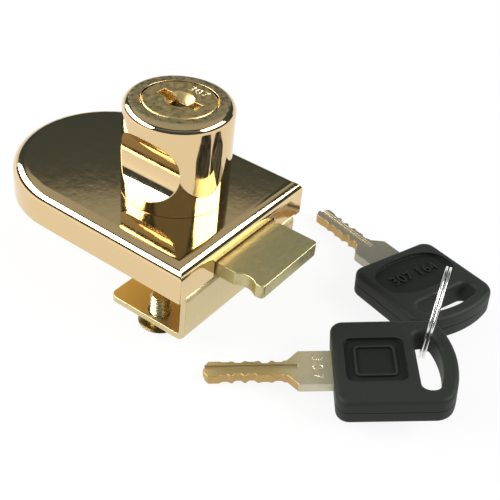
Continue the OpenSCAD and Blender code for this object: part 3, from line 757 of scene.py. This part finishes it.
def hole_outline():
    """Outline of the ring hole: straight on the inside, parallel to the head's end on the outside."""
    middle = HEAD_END - END_R
    outer = END_R - HOLE_RIM
    corner_y = HOLE_HALF - HOLE_CORNER
    inner_x = HEAD_END - HOLE_RIM - HOLE_W + HOLE_CORNER
    outer_x = middle + math.sqrt((outer - HOLE_CORNER) ** 2 - corner_y**2)
    lean = math.degrees(math.asin(corner_y / (outer - HOLE_CORNER)))
    points = arc((inner_x, -corner_y), HOLE_CORNER, 180, 270)
    points += arc((outer_x, -corner_y), HOLE_CORNER, 270, 360 - lean)
    points += arc((middle, 0), outer, -lean, lean, HOLE_STEPS)[1:-1]
    points += arc((outer_x, corner_y), HOLE_CORNER, lean, 90)
    points += arc((inner_x, corner_y), HOLE_CORNER, 90, 180)
    return points


print("hole outline has", len(hole_outline()), "points")

# %% [markdown]
# Each head has a sunk square panel on one face and a sunk oval panel on the other. Two more helpers draw
# these outlines. An oval this full is not an ellipse: raising its cosine and sine to a power below one
# fills out its corners, which is easier to adjust than a chain of arcs.

# %% Outlines of the panels
CORNER_STEPS = 6
OVAL_STEPS = 64


def rounded_square(middle_x, half, corner):
    """Outline of a square with round corners, its middle on the X axis."""
    points = []
    for quarter in range(4):
        turn = math.radians(90 * quarter)
        dx = half - corner
        x = middle_x + dx * (math.cos(turn) - math.sin(turn))
        y = dx * (math.sin(turn) + math.cos(turn))
        points += arc((x, y), corner, 90 * quarter, 90 * quarter + 90, CORNER_STEPS)
    return points


def oval(middle_x, half_x, half_y, fullness):
    """Outline of an ellipse whose corners are filled out, the more the smaller the power."""
    points = []
    for k in range(OVAL_STEPS):
        across = math.cos(math.tau * k / OVAL_STEPS)
        along = math.sin(math.tau * k / OVAL_STEPS)
        x = middle_x + half_x * math.copysign(abs(across) ** fullness, across)
        y = half_y * math.copysign(abs(along) ** fullness, along)
        points.append((x, y))
    return points


print("panel outlines have", 4 * (CORNER_STEPS + 1), "and", OVAL_STEPS, "points")

# %% [markdown]
# The heads are moulded in black plastic: a slab with rounded rims, outside and in the ring hole. A box
# could be extruded and beveled, but a filled 2D curve with a bevel of its own makes such a slab in one
# go, hole included.

# %% Slabs with rounded rims
SLAB_STEPS = 3


def slab(outlines, low, high, edge, name):
    """A flat solid between two heights in mm, with its outlines' edges rounded."""
    shape = bpy.data.curves.new(name, "CURVE")
    shape.dimensions = "2D"
    shape.fill_mode = "BOTH"
    for points in outlines:
        spline = shape.splines.new("POLY")
        spline.points.add(len(points) - 1)
        spline.use_cyclic_u = True
        for point, (x, y) in zip(spline.points, points):
            point.co = (x * MM, y * MM, 0, 1)
    shape.extrude = ((high - low) / 2 - edge) * MM
    shape.bevel_depth = edge * MM
    shape.bevel_resolution = SLAB_STEPS
    shape.offset = -edge * MM
    mesh = plain_mesh(link(bpy.data.objects.new(name, shape)), name)
    mesh.transform(Matrix.Translation((0, 0, (high + low) / 2 * MM)))
    close_up(mesh)
    return mesh


print("slab rims have a bevel resolution of", SLAB_STEPS)

# %% [markdown]
# A head has two sunk panels and a fine parting line round its middle, where the halves of the mould
# met. The line could be a dark stripe in the finish, but only a real groove has a shade of its own. The
# helper for slabs also makes these three tools, and Booleans take them out of the head.

# %% Head with its panels
HEAD_T = 5.0
HEAD_EDGE = 0.9
PANEL_S = 28.1
PANEL_DEPTH = 0.6
PANEL_HALF = 4.95
PANEL_CORNER = 1.4
PANEL_EDGE = 0.1
OVAL_HALF_X = 4.9
OVAL_HALF_Y = 8.1
OVAL_FULLNESS = 0.8
PAST_FACE = 1.0
PARTING_DEPTH = 0.12
PARTING_HALF = 0.07
# middle, half width and corner of a square that lies outside the whole head
AROUND_HEAD = (31, 14, 2)
TOP_Z = HEAD_T / 2
PANEL_Z = TOP_Z - PANEL_DEPTH


def panelled_head(name):
    """A head with its ring hole, its two sunk panels and its parting line."""
    head = slab([head_outline(), hole_outline()], -TOP_Z, TOP_Z, HEAD_EDGE, name)
    square_line = rounded_square(PANEL_S, PANEL_HALF, PANEL_CORNER)
    square_cut = slab([square_line], PANEL_Z, TOP_Z + PAST_FACE, PANEL_EDGE, "panel")
    oval_line = oval(PANEL_S, OVAL_HALF_X, OVAL_HALF_Y, OVAL_FULLNESS)
    oval_cut = slab([oval_line], -TOP_Z - PAST_FACE, -PANEL_Z, PANEL_EDGE, "oval")
    band_lines = [rounded_square(*AROUND_HEAD), head_outline(PARTING_DEPTH)]
    band = slab(band_lines, -PARTING_HALF, PARTING_HALF, 0.0, "parting")
    return carve(head, [as_object(square_cut), as_object(oval_cut), as_object(band)], name)


print("head", HEAD_T, "mm thick, panels", PANEL_DEPTH, "mm deep")

# %% [markdown]
# In the square panel stands a raised frame, and in the oval one a plain number. They could be separate
# pieces laid on the head, but they are one moulding with it, so a Boolean joins them. The floors of
# the panels are moulded smoother than the rest and get the second plastic, which is also painted
# darker: painted shade in the sunk panels. What stands up in them keeps the first.

# %% Key heads
HEAD_ANGLE = 40.0
RIB_HALF = 3.45
RIB_W = 0.45
RIB_H = 0.35
RIB_CORNER = 0.9
RIB_INNER_CORNER = 0.5
RIB_SUNK = 0.2
HEAD_NUMBER = "307 164"
HEAD_NUMBER_SIZE = 3.2
HEAD_NUMBER_H = 0.3
HEAD_NUMBER_SPACING = 1.05
SUNK_FROM = 1.4
SUNK_TO = TOP_Z - 0.04
PANEL_REACH_X = 5.2
PANEL_REACH_Y = 8.4
RAISED_FROM = PANEL_Z + 0.1
LEVEL_FROM = 0.7


def in_panels(middle, normal):
    """True in the sunk panels of a head, but not on top of what stands up in them."""
    raised = abs(middle.z) > RAISED_FROM and abs(normal.z) > LEVEL_FROM
    sunk = SUNK_FROM < abs(middle.z) < SUNK_TO
    near = abs(middle.x - PANEL_S) < PANEL_REACH_X and abs(middle.y) < PANEL_REACH_Y
    return sunk and near and not raised


rib_lines = [
    rounded_square(PANEL_S, RIB_HALF, RIB_CORNER),
    rounded_square(PANEL_S, RIB_HALF - RIB_W, RIB_INNER_CORNER),
]
number_spot = Matrix.Translation(Vector((PANEL_S, 0, -PANEL_Z)) * MM)
number_spot = number_spot @ turned_about("X", 180) @ turned_about("Z", 90)
for number, place in KEY_PLACES.items():
    head_name = "key_%d_grip" % number
    rib = as_object(slab(rib_lines, PANEL_Z - RIB_SUNK, PANEL_Z + RIB_H, PANEL_EDGE, "rib"))
    digits = digits_solid(
        HEAD_NUMBER, HEAD_NUMBER_SIZE, HEAD_NUMBER_H, HEAD_NUMBER_SPACING, number_spot
    )
    head = carve(panelled_head(head_name), [rib, digits], head_name, "UNION")
    head.transform(place)
    grip = finished(head, finishes["black_plastic"], HEAD_ANGLE)
    # the panel floors get the smoother plastic, painted darker as painted shade
    dress_faces(grip, finishes["smooth_shaded_plastic"], in_panels, place)
    stand_for(grip, "key_%d_head" % number, "key_%d" % number)
    print(head_name, "faces", len(head.polygons))

# %% [markdown]
# Two shapes of this lock follow a rule: the wound ring and the threads of the screws. Their points
# could be computed in Python, but Geometry Nodes keep the rule open to view and its sizes as named
# inputs. These helpers start a tree, close it and run it once to a plain mesh.


# %% Trees of Geometry Nodes
def new_tree(name, sizes):
    """A node tree with a geometry output, one float input for each size and a material input."""
    tree = bpy.data.node_groups.new(name, "GeometryNodeTree")
    tree.interface.new_socket("Geometry", in_out="OUTPUT", socket_type="NodeSocketGeometry")
    for label in sizes:
        tree.interface.new_socket(label, in_out="INPUT", socket_type="NodeSocketFloat")
    tree.interface.new_socket("Finish", in_out="INPUT", socket_type="NodeSocketMaterial")
    return tree, add_node(tree, "NodeGroupInput")


def end_tree(tree, given, source, output):
    """Closes a tree: real geometry, then its material, then the output."""
    real = add_node(tree, "GeometryNodeRealizeInstances")
    dress = add_node(tree, "GeometryNodeSetMaterial")
    wire(
        tree,
        (source, output, real, "Geometry"),
        (real, "Geometry", dress, "Geometry"),
        (given, "Finish", dress, "Material"),
        (dress, "Geometry", add_node(tree, "NodeGroupOutput"), "Geometry"),
    )
    print("tree", tree.name, "has", len(tree.nodes), "nodes")


def grow(tree, name, values):
    """Runs a tree with the given input values and returns its result as a plain mesh."""
    seed = as_object(bpy.data.meshes.new(name))
    run = seed.modifiers.new(name, "NODES")
    run.node_group = tree
    for item in tree.interface.items_tree:
        if item.in_out == "INPUT":
            run[item.identifier] = values[item.name]
    return plain_mesh(seed, name)


def math_node(tree, operation, first, second):
    """A math node on two numbers or outputs. An output is a node and a name, and so is the result."""
    made = add_node(tree, "ShaderNodeMath", operation=operation)
    for socket, value in enumerate((first, second)):
        if isinstance(value, tuple):
            wire(tree, (*value, made, socket))
        else:
            made.inputs[socket].default_value = value
    return made, "Value"


print("tree helpers ready")

# %% [markdown]
# The split ring is one length of spring wire wound almost twice round, so that a key can be slipped on
# between the turns. A torus would look closed. Here a spiral of constant radius climbs by the height of
# the windings, and a small square section with rounded corners is swept along it.

# %% Rule of the split ring
SPIRAL_STEPS = 96
SECTION_STEPS = 4
SECTION_ROUND = 0.45

ring_tree, given = new_tree("wound_ring", ["Radius", "Turns", "Rise", "Wire Width", "Wire Height"])
spiral = add_node(ring_tree, "GeometryNodeCurveSpiral", {"Resolution": SPIRAL_STEPS})
level = add_node(ring_tree, "GeometryNodeSetCurveNormal", mode="Z_UP")
section = add_node(ring_tree, "GeometryNodeCurvePrimitiveQuadrilateral")
ease = add_node(ring_tree, "GeometryNodeFilletCurve", {"Count": SECTION_STEPS}, mode="POLY")
ease_radius = math_node(ring_tree, "MULTIPLY", (given, "Wire Height"), SECTION_ROUND)
sweep = add_node(ring_tree, "GeometryNodeCurveToMesh", {"Fill Caps": True})
wire(
    ring_tree,
    (given, "Turns", spiral, "Rotations"),
    (given, "Radius", spiral, "Start Radius"),
    (given, "Radius", spiral, "End Radius"),
    (given, "Rise", spiral, "Height"),
    (spiral, "Curve", level, "Curve"),
    (given, "Wire Width", section, "Width"),
    (given, "Wire Height", section, "Height"),
    (section, "Curve", ease, "Curve"),
    (*ease_radius, ease, "Radius"),
    (level, "Curve", sweep, "Curve"),
    (ease, "Curve", sweep, "Profile Curve"),
)
end_tree(ring_tree, given, sweep, "Mesh")

# %% [markdown]
# The ring stands upright through the holes of both heads, turned a little about the vertical. It could
# be wound in that place, but the tree winds it flat about Z, which keeps its rule simple. The mesh
# is then tipped up and moved.

# %% Split ring
RING_R = 8
RING_TURNS = 1.9
RING_RISE = 1.15
RING_WIRE = 0.45

ring_sizes = {
    "Radius": RING_R * MM,
    "Turns": RING_TURNS,
    "Rise": RING_RISE * MM,
    "Wire Width": RING_WIRE * MM,
    "Wire Height": RING_WIRE * MM,
    "Finish": finishes["bright_steel"],
}
ring_mesh = grow(ring_tree, "wound_ring", ring_sizes)
ring_mesh.transform(Matrix.Translation((0, 0, -RING_RISE / 2 * MM)))
stand_up = turned_about("Z", RING_TURN) @ turned_about("Y", 90)
ring_mesh.transform(Matrix.Translation(RING_MIDDLE * MM) @ stand_up)
wound_ring = finished(ring_mesh, finishes["bright_steel"])
stand_for(wound_ring, "split_ring", "key_ring")
print("ring faces", len(ring_mesh.polygons))

# %% [markdown]
# The clamp screws show a few bright turns of thread in the gap for the glass. A thread could be modelled
# turn by turn, but it is a rule: the radius depends on the height and the angle together. The tree
# starts from a fine cylinder and pushes each point out by a zigzag of height over pitch less the turn.

# %% Rule of the thread
ROD_SIDES = 64
ROD_ROWS = 100
WHOLE_TURNS = 40.0

thread_tree, given = new_tree("screw_thread", ["Core Radius", "Depth", "Pitch", "Length"])
rod_steps = {"Vertices": ROD_SIDES, "Side Segments": ROD_ROWS}
rod = add_node(thread_tree, "GeometryNodeMeshCylinder", rod_steps)
where = add_node(thread_tree, "GeometryNodeInputPosition")
split = add_node(thread_tree, "ShaderNodeSeparateXYZ")
angle = math_node(thread_tree, "ARCTAN2", (split, "Y"), (split, "X"))
turn = math_node(thread_tree, "DIVIDE", angle, math.tau)
climb = math_node(thread_tree, "DIVIDE", (split, "Z"), (given, "Pitch"))
phase = math_node(thread_tree, "SUBTRACT", climb, turn)
above_zero = math_node(thread_tree, "ADD", phase, WHOLE_TURNS)
zigzag = math_node(thread_tree, "PINGPONG", above_zero, 0.5)
flank = math_node(thread_tree, "MULTIPLY", zigzag, 2.0)
push = math_node(thread_tree, "MULTIPLY", flank, (given, "Depth"))
flat_way = add_node(thread_tree, "ShaderNodeCombineXYZ")
outward = add_node(thread_tree, "ShaderNodeVectorMath", operation="NORMALIZE")
shift = add_node(thread_tree, "ShaderNodeVectorMath", operation="SCALE")
move = add_node(thread_tree, "GeometryNodeSetPosition")
wire(
    thread_tree,
    (given, "Core Radius", rod, "Radius"),
    (given, "Length", rod, "Depth"),
    (where, "Position", split, "Vector"),
    (split, "X", flat_way, "X"),
    (split, "Y", flat_way, "Y"),
    (flat_way, "Vector", outward, 0),
    (outward, "Vector", shift, 0),
    (*push, shift, "Scale"),
    (rod, "Mesh", move, "Geometry"),
    (shift, "Vector", move, "Offset"),
)
end_tree(thread_tree, given, move, "Geometry")

# %% [markdown]
# The head and the tip of a clamp screw are turned parts. A Screw modifier could spin their profiles, but
# building the rings of points directly gives a closed solid, poles included, that a Boolean can cut.

# %% Turned shapes
LATHE_STEPS = 64


def lathe(profile, name, steps=LATHE_STEPS):
    """A closed solid of revolution about Z from points (radius, height) in mm."""
    build = bmesh.new()
    rings = []
    for radius, height in profile:
        ring = []
        for k in range(steps if radius else 1):
            x = radius * math.cos(math.tau * k / steps) * MM
            y = radius * math.sin(math.tau * k / steps) * MM
            ring.append(build.verts.new((x, y, height * MM)))
        rings.append(ring)
    for low, high in zip(rings, rings[1:]):
        for k in range(steps):
            after = (k + 1) % steps
            corners = [low[k % len(low)], low[after % len(low)]]
            corners += [high[after % len(high)], high[k % len(high)]]
            build.faces.new(list(dict.fromkeys(corners)))
    bmesh.ops.recalc_face_normals(build, faces=build.faces)
    mesh = bpy.data.meshes.new(name)
    build.to_mesh(mesh)
    build.free()
    return mesh


print("turned shapes have", LATHE_STEPS, "sides")

# %% [markdown]
# The head is a low dome with a broken rim and a slot for the screwdriver, and the tip is a short cone. A
# squashed ball could stand for the dome, but a true one follows from the head's width and height, so its
# profile is computed from those two. A lathe with four sides gives the bar that cuts the slot.

# %% Head and tip of a clamp screw
SCREW_HEAD_TOP = -8.8
SCREW_HEAD_R = 3.8
SCREW_HEAD_H = 1.6
DOME_STEPS = 10
RIM_BROKEN = (0.04, 0.12)
RIM_FLAT = 0.1
NECK_R = 1.7
SLOT_BAR = ((0, -0.5), (0.5, -0.5), (0.5, 0.5), (0, 0.5))
SLOT_STRETCH = (12, 1.4, 1.6, 1)
THREAD_TOP = -3.5
TIP_TOP = -3.4
TIP_R = 1.5
TIP_END_R = 1.4

dome_r = (SCREW_HEAD_R**2 + SCREW_HEAD_H**2) / (2 * SCREW_HEAD_H)
dome_middle = SCREW_HEAD_TOP - SCREW_HEAD_H + dome_r
head_profile = []
for k in range(DOME_STEPS):
    radius = SCREW_HEAD_R * k / DOME_STEPS
    head_profile.append((radius, dome_middle - math.sqrt(dome_r**2 - radius**2)))
head_profile += [
    (SCREW_HEAD_R - RIM_BROKEN[0], SCREW_HEAD_TOP - RIM_BROKEN[1]),
    (SCREW_HEAD_R - RIM_FLAT, SCREW_HEAD_TOP),
    (NECK_R, SCREW_HEAD_TOP),
    (0, SCREW_HEAD_TOP),
]
tip_profile = [(0, THREAD_TOP), (TIP_R, THREAD_TOP), (TIP_END_R, TIP_TOP), (0, TIP_TOP)]


def slotted_head():
    """The domed head with a slot for the screwdriver across it."""
    bar = lathe(SLOT_BAR, "drive_slot", 4)
    bar.transform(turned_about("Z", 45))
    bar.transform(Matrix.Diagonal(SLOT_STRETCH))
    bar.transform(Matrix.Translation((0, 0, (SCREW_HEAD_TOP - SCREW_HEAD_H) * MM)))
    return carve(lathe(head_profile, "screw_head"), [as_object(bar)], "screw_head")


print("dome radius", round(dome_r, 2), "mm")

# %% [markdown]
# Each clamp screw goes up through the flange of the clamp and presses on the glass. Its head, thread and
# tip could be fused by a Boolean, but they meet where nobody sees it, so they are joined as they are,
# which is safer on the fine thread.

# %% Clamp screws
SCREW_X = 8.4
SCREW_Y = 13.1
SCREW_ANGLE = 30.0
THREAD_CORE_R = 1.36
THREAD_DEPTH = 0.44
THREAD_PITCH = 0.8
THREAD_SUNK = 0.2
THREAD_LENGTH = THREAD_TOP - SCREW_HEAD_TOP + THREAD_SUNK


def joined(meshes, name):
    """Several meshes as one."""
    build = bmesh.new()
    for mesh in meshes:
        build.from_mesh(mesh)
    whole = bpy.data.meshes.new(name)
    build.to_mesh(whole)
    build.free()
    return whole


thread_sizes = {
    "Core Radius": THREAD_CORE_R * MM,
    "Depth": THREAD_DEPTH * MM,
    "Pitch": THREAD_PITCH * MM,
    "Length": THREAD_LENGTH * MM,
    "Finish": finishes["screw_brass"],
}
for label, side in (("near", -1), ("far", 1)):
    thread = grow(thread_tree, "thread", thread_sizes)
    thread_middle = SCREW_HEAD_TOP - THREAD_SUNK + THREAD_LENGTH / 2
    thread.transform(Matrix.Translation((0, 0, thread_middle * MM)))
    tip = lathe(tip_profile, "screw_tip")
    whole = joined([slotted_head(), thread, tip], "clamping_screw_" + label)
    whole.transform(Matrix.Translation(Vector((SCREW_X, side * SCREW_Y, 0)) * MM))
    screw = finished(whole, finishes["screw_brass"], SCREW_ANGLE)
    stand_for(screw, "clamp_screw_" + label, label + "_screw")
    print(screw.name, "faces", len(whole.polygons))

# %% [markdown]
# What is left is inside the lock or under it: the wafers and springs of the plug, the cam that draws the
# bolt, the small screws and the pad for the glass. These solids could be softened too, but nobody
# sees their edges, so they keep their shape and only get a finish.

# %% Finishes of the inner pieces
INNER_FINISHES = {
    "plug_circlip": "plain_steel",
    "wafers_forward": "satin_brass",
    "wafers_backward": "satin_brass",
    "wafer_springs": "plain_steel",
    "drive_cam": "plain_steel",
    "drive_pin": "plain_steel",
    "cam_screw": "plain_steel",
    "back_plate_screws": "plain_steel",
    "knob_screws": "plain_steel",
    "glass_pad": "pad_rubber",
}
for node, finish in INNER_FINISHES.items():
    set_finish(solids[node].data, finishes[finish])
print("inner pieces:", len(INNER_FINISHES))
